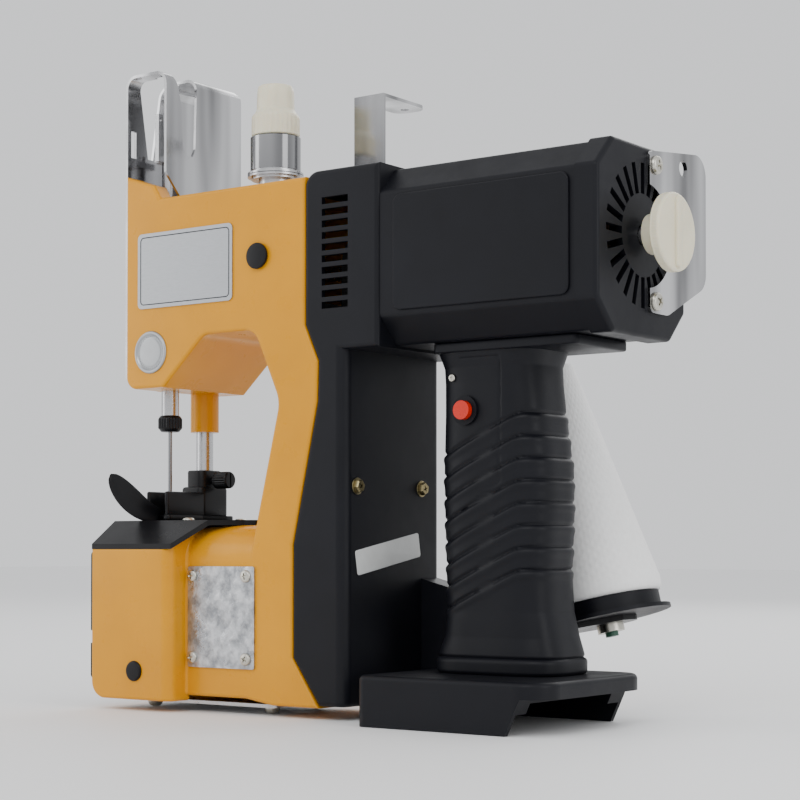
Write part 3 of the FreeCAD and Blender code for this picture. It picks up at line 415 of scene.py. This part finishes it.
def lathe(profile, segments=96, ripple=None):
    """A closed solid turned about Z from (radius, height) points in millimetres.

    The outline starts and ends on the axis. ripple adds to the radius at an angle and height.
    """
    work = bmesh.new()
    rings = []
    for radius, height in profile:
        if radius < 1e-6:
            rings.append([work.verts.new((0, 0, height * MM))])
            continue
        ring = []
        for step in range(segments):
            angle = 2 * math.pi * step / segments
            grown = radius + (ripple(angle, height, radius) if ripple else 0)
            corner = (grown * math.cos(angle) * MM, grown * math.sin(angle) * MM, height * MM)
            ring.append(work.verts.new(corner))
        rings.append(ring)
    for low, high in zip(rings, rings[1:]):
        for step in range(segments):
            after = (step + 1) % segments
            corners = [low[step % len(low)], low[after % len(low)]]
            corners += [high[after % len(high)], high[step % len(high)]]
            unique = list(dict.fromkeys(corners))
            if len(unique) > 2:
                work.faces.new(unique)
    return work


def loft(sections):
    """A closed solid through equal rings of points in metres, capped at both ends."""
    work = bmesh.new()
    rings = [[work.verts.new(point) for point in section] for section in sections]
    count = len(rings[0])
    for low, high in zip(rings, rings[1:]):
        for step in range(count):
            after = (step + 1) % count
            work.faces.new((low[step], low[after], high[after], high[step]))
    work.faces.new(rings[0])
    work.faces.new(rings[-1])
    return work


def rounded_outline(width, height, radius, steps=6):
    """Corner points of a rounded rectangle about its middle, in millimetres."""
    points = []
    for turn, (sx, sy) in enumerate(((1, 1), (-1, 1), (-1, -1), (1, -1))):
        for step in range(steps + 1):
            angle = math.pi / 2 * (turn + step / steps)
            x = sx * (width / 2 - radius) + radius * math.cos(angle)
            y = sy * (height / 2 - radius) + radius * math.sin(angle)
            points.append((x, y))
    return points


def slab(width, length, height, radius, edge=0.6):
    """A rounded block standing on Z = 0 with its rims rounded over, in millimetres."""
    turn = edge * 0.3
    steps = (
        (edge, 0), (turn, turn), (0, edge),
        (0, height - edge), (turn, height - turn), (edge, height),
    )
    sections = []
    for inset, level in steps:
        outline = rounded_outline(width - 2 * inset, length - 2 * inset, max(radius - inset, 0.1))
        sections.append([Vector((x, y, level)) * MM for x, y in outline])
    return loft(sections)


def carve(work, cutter):
    """Subtract one closed mesh from another, exactly."""
    pair = []
    for name, part in (("carved", work), ("cutter", cutter)):
        bmesh.ops.recalc_face_normals(part, faces=part.faces)
        mesh = bpy.data.meshes.new(name)
        part.to_mesh(mesh)
        part.free()
        obj = bpy.data.objects.new(name, mesh)
        bpy.context.scene.collection.objects.link(obj)
        pair.append(obj)
    body, tool = pair
    cut = body.modifiers.new("cut", "BOOLEAN")
    cut.operation = "DIFFERENCE"
    cut.solver = "EXACT"
    cut.object = tool
    bpy.context.view_layer.update()
    graph = bpy.context.evaluated_depsgraph_get()
    result = bmesh.new()
    result.from_mesh(body.evaluated_get(graph).to_mesh())
    for obj in pair:
        mesh = obj.data
        bpy.data.objects.remove(obj)
        bpy.data.meshes.remove(mesh)
    return result


def islands(node):
    """The separate solids of a CAD node, each as a list of its points."""
    work = bmesh.new()
    work.from_mesh(NODES[node].data)
    bmesh.ops.remove_doubles(work, verts=work.verts, dist=1e-6)
    left = set(work.verts)
    found = []
    while left:
        queue = [left.pop()]
        members = []
        while queue:
            vert = queue.pop()
            members.append(vert.co.copy())
            for edge in vert.link_edges:
                other = edge.other_vert(vert)
                if other in left:
                    left.discard(other)
                    queue.append(other)
        found.append(members)
    work.free()
    found.sort(key=lambda points: tuple(round(value, 5) for value in points_middle(points)))
    return found


def joint_of(name):
    """The frame's entry for a joint."""
    return next(joint for joint in frame["joints"] if joint["name"] == name)


def standing(node):
    """A matrix at the middle of a node's underside, and the node's height in millimetres."""
    low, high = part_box(node)
    foot = Vector(((low[0] + high[0]) / 2, (low[1] + high[1]) / 2, low[2]))
    return aim(foot, (0, 0, 1)), (high[2] - low[2]) / MM


def points_middle(points):
    """Middle of the box round some points."""
    low = Vector([min(point[axis] for point in points) for axis in range(3)])
    high = Vector([max(point[axis] for point in points) for axis in range(3)])
    return (low + high) / 2


def screw_place(points):
    """Where a screw's head sits: a matrix at its underside, then its radius and height in millimetres."""
    middle = points_middle(points)
    spans = [max(p[axis] for p in points) - min(p[axis] for p in points) for axis in range(3)]
    along = min(range(3), key=lambda axis: abs(spans[(axis + 1) % 3] - spans[(axis + 2) % 3]))
    across = [axis for axis in range(3) if axis != along]
    reach = {id(p): math.hypot(*(p[axis] - middle[axis] for axis in across)) for p in points}
    widest = max(reach.values())
    rim = [p[along] for p in points if reach[id(p)] > widest * 0.93]
    side = 1 if sum(rim) / len(rim) > middle[along] else -1
    foot = middle.copy()
    foot[along] = min(rim) if side > 0 else max(rim)
    axis = Vector((0, 0, 0))
    axis[along] = side
    return aim(foot, axis), widest / MM, (max(rim) - min(rim)) / MM


# ---------------------------------------------------------------- screws and bolts

def cross_recess(radius, top, depth):
    """The cutters of a cross recess: two crossing tapered bars."""
    bars = []
    for long_side, short_side in ((1.16, 0.27), (0.27, 1.16)):
        sections = []
        for level, grow in ((top - depth, 0.6), (top + 0.5, 1.08)):
            half = (radius * long_side / 2 * grow, radius * short_side / 2 * grow)
            corners = ((-1, -1), (1, -1), (1, 1), (-1, 1))
            sections.append([Vector((sx * half[0], sy * half[1], level)) * MM for sx, sy in corners])
        bars.append(loft(sections))
    return bars


def pan_head(radius, height):
    """A domed screw head with a cross recess."""
    profile = [
        (0, 0), (radius, 0), (radius, height * 0.35),
        (radius * 0.86, height * 0.82), (radius * 0.4, height), (0, height),
    ]
    head = lathe(rounded(profile, height * 0.3), 48)
    for bar in cross_recess(radius, height, height * 0.6):
        head = carve(head, bar)
    return head


def hex_head(radius, height):
    """A bevelled hexagon head with a cross recess, on a flat washer."""
    wide = radius * 0.8
    profile = [(0, 0.5), (wide, 0.5), (wide, height * 0.78), (wide * 0.84, height), (0, height)]
    head = lathe(profile, 6)
    for bar in cross_recess(wide * 0.8, height, height * 0.45):
        head = carve(head, bar)
    washer = lathe(rounded([(0, 0), (radius, 0), (radius, 0.55), (0, 0.55)], 0.2), 48)
    return joined([(head, HERE), (washer, HERE)])


def dress_screws():
    """Cross-recessed heads in place of the plain ones, each turned its own way."""
    for node, shape in (("bed_screws", pan_head), ("bottom_screws", pan_head),
                        ("frame_screws", pan_head), ("cover_bolts", hex_head)):
        heads = []
        for points in islands(node):
            matrix, radius, height = screw_place(points)
            turn = Matrix.Rotation(RANDOM.uniform(0, math.pi), 4, "Z")
            heads.append((shape(radius, height), matrix @ turn))
        finish = BRASSY_ZINC if node == "cover_bolts" else None
        new_piece(f"{node}_heads", joined(heads), "zinc", replaces=(node,), material=finish, angle=40)


def dress_plugs():
    """Blind plugs: a hexagon socket in the arm's, a shallow dome on the bed's."""
    arm_level = 0.15
    caps = []
    for points in islands("blind_plugs"):
        matrix, radius, height = screw_place(points)
        profile = [(0, -0.4), (radius, -0.4), (radius, height * 0.6), (radius * 0.88, height), (0, height)]
        cap = lathe(rounded(profile, 0.5), 72)
        if points_middle(points).z > arm_level:
            socket_floor = height - 1.2
            above = height + 1
            across = radius * 0.5
            socket = [(0, socket_floor), (across, socket_floor), (across, above), (0, above)]
            cap = carve(cap, lathe(socket, 6))
        caps.append((cap, matrix))
    new_piece("plug_caps", joined(caps), "dark_metal", replaces=("blind_plugs",), angle=40)


# ---------------------------------------------------------------- grip

# height, front, rear and half width of the column, on the grid
GRIP_KEYS = (
    (22.0, 166.6, 228.0, 21.0),
    (23.2, 165.7, 229.0, 21.9),
    (27.5, 165.6, 229.0, 22.0),
    (28.6, 166.0, 228.6, 21.6),
    (29.3, 167.4, 227.4, 20.4),
    (30.2, 166.6, 228.0, 21.0),
    (32.5, 167.2, 227.4, 20.7),
    (38.0, 169.4, 225.8, 19.8),
    (49.0, 170.6, 223.2, 19.2),
    (65.0, 170.0, 222.4, 19.0),
    (90.0, 169.3, 223.4, 19.3),
    (109.0, 168.9, 223.2, 19.3),
    (122.0, 169.2, 221.4, 19.0),
    (135.0, 169.6, 219.4, 18.9),
    (148.0, 169.6, 218.0, 18.8),
    (155.0, 169.2, 217.6, 19.0),
    (161.6, 166.8, 219.8, 20.6),
)
# how square the column's section is: 1 is an ellipse, 0 a rectangle
ROUNDNESS = 2 / 3.7
# front and rear ends of the flange under the motor
FLANGE = (170.0, 243.5)

# finger grooves: level at the rear, falling forwards from the bend until their run is used up
GROOVE_PITCH = 9.6
GROOVE_TOP = 134.5
GROOVE_COUNT = 8
GROOVE_DEPTH = 0.85
GROOVE_WIDTH = 0.75
RIDGE_RISE = 0.5
RIDGE_BELOW = 2.4
RIDGE_WIDTH = 1.7
BEND_X = 212.0
BEND_SOFTNESS = 6
SLANT = 0.46
SLANT_RUN = 37.0

# seam of the switch's cover: an upright line, a top line and a slanting lower line
SEAM_DEPTH = 0.4
SEAM_WIDTH = 0.35
SEAM_FRONT = 183
SEAM_REAR = 203.5
SEAM_LOW = 104
SEAM_TOP = 158.8

# hole that the push button moves in
BUTTON_HOLE_RADIUS = 5.45
BUTTON_HOLE_DEPTH = 18


def between(keys, height):
    """Values at a height, drawn straight between the keyed heights."""
    for low, high in zip(keys, keys[1:]):
        if height <= high[0]:
            share = (height - low[0]) / (high[0] - low[0])
            return [a + (b - a) * share for a, b in zip(low[1:], high[1:])]
    return list(keys[-1][1:])


def bell(distance, width):
    """A bell curve, 1 high."""
    return math.exp(-(distance / width) ** 2)


def power(value, exponent):
    """A power that keeps the sign."""
    return math.copysign(abs(value) ** exponent, value)


def grip_relief(x, y, z, middle_y):
    """How far grooves and seam raise the grip's surface, in millimetres: cuts are negative."""
    slide = BEND_X - x
    smooth = 0.5 * (slide + math.sqrt(slide * slide + BEND_SOFTNESS))
    drop = SLANT * min(smooth, SLANT_RUN)
    relief = 0.0
    for number in range(GROOVE_COUNT):
        away = z - (GROOVE_TOP - number * GROOVE_PITCH - drop)
        ridge = RIDGE_RISE * bell(away + RIDGE_BELOW, RIDGE_WIDTH)
        relief += ridge - GROOVE_DEPTH * bell(away, GROOVE_WIDTH)
    if y < middle_y:
        if SEAM_LOW < z < SEAM_TOP:
            relief -= SEAM_DEPTH * bell(x - SEAM_REAR, SEAM_WIDTH)
        if SEAM_FRONT < x < SEAM_REAR:
            lower_line = 94.7 + (x - 187) * 0.6
            relief -= SEAM_DEPTH * bell(z - SEAM_TOP, SEAM_WIDTH)
            relief -= SEAM_DEPTH * bell(z - lower_line, SEAM_WIDTH)
    return relief


def grip_column(middle_y):
    """The waisted column of the grip, flared at its foot, with its grooves and seam."""
    around = 320
    rows = 250
    base = GRIP_KEYS[0][0]
    crown = GRIP_KEYS[-1][0]
    sections = []
    for row in range(rows + 1):
        z = base + (crown - base) * row / rows
        front, rear, half = between(GRIP_KEYS, z)
        centre = (front + rear) / 2
        reach = (rear - front) / 2
        ring = []
        for step in range(around):
            angle = 2 * math.pi * step / around
            along = math.cos(angle)
            across = math.sin(angle)
            x = centre + reach * power(along, ROUNDNESS)
            y = middle_y + half * power(across, ROUNDNESS)
            out = Vector((power(along, 2 - ROUNDNESS) / reach, power(across, 2 - ROUNDNESS) / half))
            out = out.normalized() * grip_relief(x, y, z, middle_y)
            ring.append(grid(x + out.x, y + out.y, z))
        sections.append(ring)
    return loft(sections)


def button_hole(near):
    """The cutter of the push button's hole, started just outside the grip's near side."""
    low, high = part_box("trigger_button")
    spot = Vector(((low[0] + high[0]) / 2, near - 0.002, (low[2] + high[2]) / 2))
    reach = BUTTON_HOLE_RADIUS
    depth = BUTTON_HOLE_DEPTH
    hole = lathe([(0, 0), (reach, 0), (reach, depth), (0, depth)], 64)
    hole.transform(aim(spot, joint_of("trigger_press")["axis"]))
    return hole


def make_grip():
    """The pistol grip: a grooved column with a flange under the motor, and the switch cover's screw."""
    low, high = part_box("grip")
    middle_y = (low[1] + high[1]) / 2 / MM + GRID_ORIGIN_Y
    column = carve(grip_column(middle_y), button_hole(low[1]))
    flange_low = GRIP_KEYS[-1][0] - 0.3
    width = high[1] / MM - low[1] / MM
    plate = slab(FLANGE[1] - FLANGE[0], width, high[2] / MM - flange_low, 3, 0.8)
    plate_at = Matrix.Translation(grid((FLANGE[0] + FLANGE[1]) / 2, middle_y, flange_low))
    shell = joined([(column, HERE), (plate, plate_at)])
    new_piece("grip_shell", shell, "black_plastic", replaces=("grip",), angle=48)
    seat = aim(grid(178.6, middle_y - 18.55, 150.5), (0, -1, 0))
    new_piece("grip_screw", joined([(pan_head(1.7, 0.8), seat)]), "zinc", angle=40)


# ---------------------------------------------------------------- thread, knobs and clamps

def make_thread_cone():
    """Cross-wound thread: a cone whose strands cross in shallow diamonds, soft at both ends."""
    turn = joint_of("cone_turn")
    wide, low = 27.0, 5.0
    narrow, high = 9.0, 109.0
    strand = 0.2
    crossings = 17

    def strands(angle, height, radius):
        climb = height * 0.62
        first = abs(math.sin(crossings * angle + climb))
        second = abs(math.sin(crossings * angle - climb))
        unevenness = 0.05 * math.sin(3 * angle + 0.11 * height) * radius / 27
        return strand * max(first, second) - strand + unevenness

    rows = 150
    profile = [(0, -1.2), (24, -1.2), (25.6, -1.2), (26.6, 0.2), (27, 2.4)]
    for row in range(rows + 1):
        share = row / rows
        profile.append((wide + (narrow - wide) * share, low + (high - low) * share))
    profile += [(8.2, 110.2), (6.4, 110.5), (0, 110.5)]
    place = aim(Vector(turn["pos_m"]), turn["axis"])
    winding = joined([(lathe(profile, 288, strands), place)])
    new_piece("thread_winding", winding, "thread", "cone", ("thread_cone",), angle=60)


def make_tension_knob():
    """Stepped cream knob with shallow flutes round its skirt."""
    place, height = standing("tension_knob")

    def flutes(angle, level, radius):
        on_skirt = 1.0 if 0.8 < level < 9.8 and radius > 10 else 0.0
        on_cap = 1.0 if level > 12.5 and radius > 8 else 0.0
        return -0.22 * on_skirt * abs(math.sin(15 * angle)) - 0.3 * on_cap * abs(math.sin(3 * angle)) ** 3

    profile = [
        (0, 0), (11.5, 0), (11.5, 4), (11.5, 9.5), (9.9, 11.2),
        (9.2, 12.4), (8.9, height - 3), (8.4, height), (0, height),
    ]
    knob = joined([(lathe(rounded(profile, 1.1), 180, flutes), place)])
    new_piece("tension_cap", knob, "cream_plastic", "tension_dial", ("tension_knob",), angle=50)


def make_hand_knob():
    """Cream knob with rounded rims, a finely ribbed edge and a finger bar across its face."""
    turn = joint_of("motor_spin")
    low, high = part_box("hand_knob")
    face = 12.8

    def ribs(angle, level, radius):
        return -0.16 * abs(math.sin(36 * angle)) if radius > 16 and 9.2 < level < 12.2 else 0.0

    profile = [
        (0, 0), (8.5, 0), (8.5, 5.8), (11, 7), (16.5, 8.5),
        (16.5, 9.4), (16.5, 12), (15.6, face), (0, face),
    ]
    centre = Vector((low[0], turn["pos_m"][1], turn["pos_m"][2]))
    place = aim(centre, (1, 0, 0))
    sunk = 1.0
    bar = slab(30, 4.4, (high[0] - low[0]) / MM - face + sunk, 2.1, 0.7)
    bar_at = place @ Matrix.Translation((0, 0, (face - sunk) * MM))
    knob = joined([(lathe(rounded(profile, 0.8), 216, ribs), place), (bar, bar_at)])
    new_piece("knob_wheel", knob, "cream_plastic", "rotor", ("hand_knob",), angle=50)


def make_needle_clamp():
    """Knurled collet that grips the needle."""
    place, height = standing("needle_clamp")

    def knurl(angle, level, radius):
        return -0.28 * abs(math.sin(14 * angle)) if radius > 5.2 and 1.6 < level < height - 1.2 else 0.0

    profile = [
        (0, 0), (4.3, 0), (5.85, 1.9), (5.85, height / 2),
        (5.85, height - 1.6), (4.7, height), (0, height),
    ]
    collet = joined([(lathe(rounded(profile, 0.5), 168, knurl), place)])
    new_piece("clamp_collet", collet, "dark_metal", "needle_unit", ("needle_clamp",), angle=50)


def make_thumb_screw():
    """Ribbed thumb screw of the presser foot, with a driver slot in its face."""
    low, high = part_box("foot_thumb_screw")
    length = (high[0] - low[0]) / MM

    def ribs(angle, level, radius):
        return -0.25 * abs(math.sin(12 * angle)) if radius > 4 and 3.6 < level < length - 0.8 else 0.0

    profile = [
        (0, 0), (1.8, 0), (1.8, 3), (4.2, 3.2), (4.2, length / 2),
        (4.2, length - 0.7), (3.6, length), (0, length),
    ]
    place = aim(Vector((low[0], (low[1] + high[1]) / 2, (low[2] + high[2]) / 2)), (1, 0, 0))
    head = lathe(rounded(profile, 0.4), 144, ribs)
    slot = slab(9.5, 0.9, 2, 0.2, 0.1)
    slot.transform(Matrix.Translation((0, 0, (length - 0.8) * MM)))
    screw = joined([(carve(head, slot), place)])
    new_piece("thumb_screw", screw, "dark_metal", "presser_unit", ("foot_thumb_screw",), angle=45)


# ---------------------------------------------------------------- presser foot

def leaf_blade(spine, breadth, thickness):
    """A dished leaf-shaped blade along a curved spine, given by four points on the grid."""
    rows = 28
    across = 14
    facing = Vector((0.70, -0.68, -0.19))
    a, b, c, d = (Vector(point) for point in spine)
    front = []
    back = []
    for row in range(rows + 1):
        share = row / rows
        inverse = 1 - share
        centre = a * inverse ** 3 + b * 3 * inverse ** 2 * share
        centre = centre + c * 3 * inverse * share ** 2 + d * share ** 3
        tangent = (b - a) * inverse ** 2 + (c - b) * 2 * inverse * share + (d - c) * share ** 2
        side = tangent.cross(facing).normalized()
        normal = side.cross(tangent).normalized()
        belly = 0.5 + 0.5 * math.sin(math.pi * (0.06 + 0.60 * share))
        tip = math.sqrt(max(1 - share ** 5, 0.004))
        half = breadth * belly * tip
        near_row = []
        far_row = []
        for step in range(across + 1):
            t = 2 * step / across - 1
            dish = -1.1 * (1 - t * t)
            thin = thickness * (1 - 0.75 * t ** 4) / 2
            point = centre + side * (half * t) + normal * dish
            near_row.append(grid(*(point + normal * thin)))
            far_row.append(grid(*(point - normal * thin)))
        front.append(near_row)
        back.append(far_row)
    sections = [near_row + far_row[::-1] for near_row, far_row in zip(front, back)]
    return loft(sections)


def make_presser_foot():
    """Sole, two cheeks beside the needle, a stepped block and collar, and an upturned leaf-shaped ear."""
    low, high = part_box("presser_foot")
    bar_low, bar_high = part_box("presser_bar")
    x = (bar_low[0] + bar_high[0]) / 2 / MM + GRID_ORIGIN_X
    y = (bar_low[1] + bar_high[1]) / 2 / MM + GRID_ORIGIN_Y
    sole = low[2] / MM
    top = high[2] / MM
    parts = []

    def add(width, length, height, radius, cx, cy, level, edge=0.6):
        block = slab(width, length, height, radius, edge)
        parts.append((block, Matrix.Translation(grid(cx, cy, level))))

    for side in (-1, 1):
        add(4.6, 44, 2.6, 1.6, x + side * 5.7, 32, sole)
        add(2.2, 27, 12.5, 1.0, x + side * 5.9, 23.6, sole + 1.4, 0.9)
    add(16, 27, 2.6, 3, x, 45, sole)
    add(14.6, 20.5, 15, 3.2, x, y, sole + 1.8, 1.4)
    add(12, 15.5, top - sole - 8.6, 3.6, x, y - 0.3, sole + 8.6, 0.9)
    spine = (
        (x - 0.5, 12, sole + 2.3), (x - 3, 4, sole + 3),
        (x - 7, -3, sole + 10), (x - 12.5, -8.5, sole + 22),
    )
    parts.append((leaf_blade(spine, 6.0, 1.7), HERE))
    new_piece("foot_casting", joined(parts), "dark_metal", "presser_unit", ("presser_foot",), angle=40)


# ---------------------------------------------------------------- plates, badge and label

def make_name_plate_border():
    """Thin printed line just inside the name plate's edge."""
    low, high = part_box("name_plate")
    margins = 3.4
    line = 0.45
    proud = 0.07
    width = (high[0] - low[0]) / MM - margins
    height = (high[2] - low[2]) / MM - margins
    work = bmesh.new()
    rings = []
    for inset, lift in ((0, 0), (0, proud), (line, proud), (line, 0)):
        outline = rounded_outline(width - 2 * inset, height - 2 * inset, 2.2 - inset)
        rings.append([work.verts.new(Vector((px, -lift, pz)) * MM) for px, pz in outline])
    count = len(rings[0])
    for number in range(4):
        first, second = rings[number], rings[(number + 1) % 4]
        for step in range(count):
            after = (step + 1) % count
            work.faces.new((first[step], first[after], second[after], second[step]))
    place = Matrix.Translation(((low[0] + high[0]) / 2, low[1], (low[2] + high[2]) / 2))
    new_piece("plate_border", joined([(work, place)]), "dark_metal", angle=50)


def make_badge():
    """Plain round medallion with a raised rim and a ring of fine beads, and no mark."""
    profile = [
        (0, 0.55), (6.6, 0.55), (7.2, 0.35), (8.2, 0.35), (8.8, 0.95),
        (9.8, 0.95), (10.2, 0.4), (10.2, 0), (0, 0),
    ]
    seat = aim(grid(16.6, 0.0, 170), (0, -1, 0))
    parts = [(lathe(rounded(profile, 0.35), 120), seat)]
    beads = 36
    bead_ring = 7.7 * MM
    for number in range(beads):
        angle = 2 * math.pi * number / beads
        bead = lathe(rounded([(0, 0), (0.36, 0), (0.36, 0.3), (0, 0.3)], 0.16, 3), 12)
        spot = Matrix.Translation((bead_ring * math.cos(angle), bead_ring * math.sin(angle), 0.3 * MM))
        parts.append((bead, seat @ spot))
    new_piece("head_badge", joined(parts), "silver_plate", material=BADGE_METAL, angle=40)


def make_cover_label():
    """Blank pale sticker, set a little askew on the belt cover's rear face."""
    work = slab(48.5, 11.2, 0.35, 1.2, 0.12)
    place = aim(grid(134.0, 32.3, 73.9), (1, 0, 0))
    # a quarter turn would lay it level
    lean = Matrix.Rotation(math.radians(100.0), 4, "Z")
    new_piece("cover_label", joined([(work, place @ lean)]), "silver_plate", material=LABEL_FILM, angle=40)


def dress_cad_nodes():
    """Every CAD node takes the material of its record slot, but the foil notice on the bed its own."""
    for entry in frame["record"]["subparts"]:
        obj = NODES[entry["node"]]
        obj.data.materials.clear()
        obj.data.materials.append(MATERIALS[entry["material_slot"]])
    NODES["bed_side_plate"].data.materials[0] = NOTICE_FOIL


make_camera()
make_studio()
dress_cad_nodes()
dress_screws()
dress_plugs()
make_grip()
make_thread_cone()
make_tension_knob()
make_hand_knob()
make_needle_clamp()
make_thumb_screw()
make_presser_foot()
make_name_plate_border()
make_badge()
make_cover_label()
